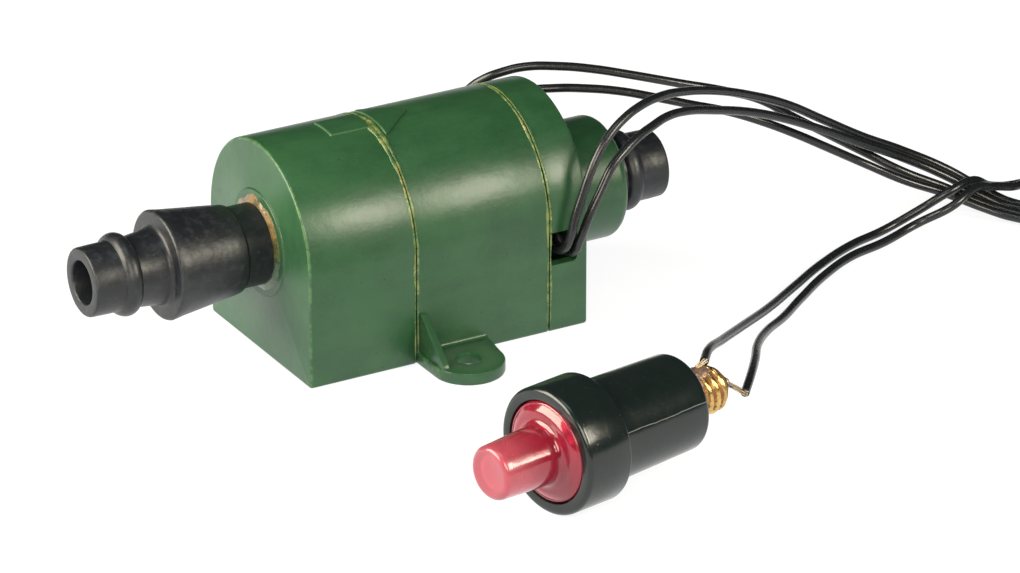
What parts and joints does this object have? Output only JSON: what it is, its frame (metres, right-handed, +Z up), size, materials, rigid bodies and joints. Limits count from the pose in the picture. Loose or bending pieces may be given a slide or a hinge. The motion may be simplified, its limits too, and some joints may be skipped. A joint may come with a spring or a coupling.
{
  "type": "air pump",
  "caption": "Small in-line electric air pump with hose spigots at both ends, side mounting ears, loose leads and a remote red pilot lamp.",
  "frame": {"origin": "on the base plane, midway between the two mounting ears' holes and midway along the housing", "axes": "+X along the air ports from inlet to outlet, +Z up, -Y towards the side where the pilot lamp lies"},
  "size_m": [0.2409, 0.1369, 0.0448],
  "materials": {
    "green_plastic": "moulded green plastic, satin gloss, with faint moulding marks",
    "black_rubber": "hard black moulded rubber, satin, scuffed",
    "filter_foam": "open-cell grey foam",
    "grey_plastic": "plain moulded plastic",
    "zinc_plate": "zinc-plated steel",
    "magnet_ferrite": "pressed ferrite",
    "bronze_bush": "oiled sintered bronze",
    "white_nylon": "natural nylon",
    "brass_strip": "stamped brass strip",
    "screw_steel": "bright steel",
    "laminations": "stacked steel laminations",
    "copper_wire": "enamelled copper",
    "carbon": "pressed carbon",
    "diaphragm_rubber": "thin black rubber",
    "black_moulding": "glossy black thermoset with a parting line",
    "red_lens": "translucent red moulded lens",
    "bulb_glass": "clear bulb glass",
    "brass_cap": "rolled brass screw cap, tarnished near the solder",
    "solder": "dull solder with brown flux",
    "black_pvc": "glossy black insulation"
  },
  "bodies": {
    "pump_housing": {"front_housing": "green_plastic", "motor_housing": "green_plastic", "rear_cap": "green_plastic", "front_adapter": "black_rubber", "rear_adapter": "black_rubber", "inlet_filter": "filter_foam", "motor_bulkhead": "grey_plastic", "motor_can": "zinc_plate", "magnet_upper": "magnet_ferrite", "magnet_lower": "magnet_ferrite", "front_bearing": "bronze_bush", "rear_bearing": "bronze_bush", "end_bell": "white_nylon", "brush_terminal_near": "brass_strip", "brush_terminal_far": "brass_strip", "motor_screw_near": "screw_steel", "motor_screw_far": "screw_steel", "pump_base": "grey_plastic", "valve_plate": "white_nylon", "chamber_ring": "white_nylon", "diaphragm": "diaphragm_rubber", "diaphragm_clamp_ring": "zinc_plate", "air_duct": "grey_plastic", "lamp_holder": "black_moulding", "bulb_glass": "bulb_glass", "bulb_cap": "brass_cap", "bulb_insulator": "black_moulding", "tip_contact": "solder", "shell_solder": "solder", "lamp_lead_a_out": "black_pvc", "lamp_lead_b_out": "black_pvc", "lamp_lead_a_back": "black_pvc", "lamp_lead_b_back": "black_pvc", "lamp_lead_coil": "black_pvc", "supply_lead_a_out": "black_pvc", "supply_lead_b_out": "black_pvc", "supply_lead_a_tail": "black_pvc", "supply_lead_b_tail": "black_pvc", "supply_lead_coil": "black_pvc"},
    "rotor": {"shaft": "screw_steel", "armature_core": "laminations", "winding_a": "copper_wire", "winding_b": "copper_wire", "winding_c": "copper_wire", "commutator": "copper_wire", "eccentric": "zinc_plate", "grub_screw": "screw_steel"},
    "rod": {"connecting_rod": "white_nylon", "rod_bush": "bronze_bush", "clamp_disc_lower": "zinc_plate", "clamp_disc_upper": "zinc_plate"},
    "intake_valve": {"intake_flap": "diaphragm_rubber"},
    "exhaust_valve": {"exhaust_flap": "diaphragm_rubber"},
    "near_brush": {"brush_near": "carbon"},
    "far_brush": {"brush_far": "carbon"},
    "lens": {"lamp_lens": "red_lens"}
  },
  "joints": [
    {"name": "rotor_spin", "type": "hinge", "parent": "pump_housing", "child": "rotor", "pos_m": [0, 0, 0.0233], "axis": [1, 0, 0], "continuous": true},
    {"name": "rod_orbit", "type": "hinge", "parent": "rotor", "child": "rod", "pos_m": [-0.01875, 0, 0.0245], "axis": [1, 0, 0], "continuous": true, "deforming": ["diaphragm"]},
    {"name": "intake_lift", "type": "hinge", "parent": "pump_housing", "child": "intake_valve", "pos_m": [-0.01875, 0.0006, 0.0081], "axis": [1, 0, 0], "range_deg": [0, 7], "stiffness_Nm_per_rad": 0.00002, "springref_deg": -2.86},
    {"name": "exhaust_lift", "type": "hinge", "parent": "pump_housing", "child": "exhaust_valve", "pos_m": [-0.01875, -0.0012, 0.0057], "axis": [1, 0, 0], "range_deg": [0, 7], "stiffness_Nm_per_rad": 0.00002, "springref_deg": -2.86},
    {"name": "near_brush_slide", "type": "slide", "parent": "pump_housing", "child": "near_brush", "axis": [0, -1, 0], "range_m": [0, 0.0008], "stiffness_N_per_m": 50, "springref_m": -0.002},
    {"name": "far_brush_slide", "type": "slide", "parent": "pump_housing", "child": "far_brush", "axis": [0, 1, 0], "range_m": [0, 0.0008], "stiffness_N_per_m": 50, "springref_m": -0.002},
    {"name": "lens_pull", "type": "slide", "parent": "pump_housing", "child": "lens", "axis": [-0.9785, -0.2062, 0], "range_m": [0, 0.015]}
  ],
  "couplings": [
    {"joint": "rod_orbit", "follows": "rotor_spin", "ratio": -1}
  ]
}
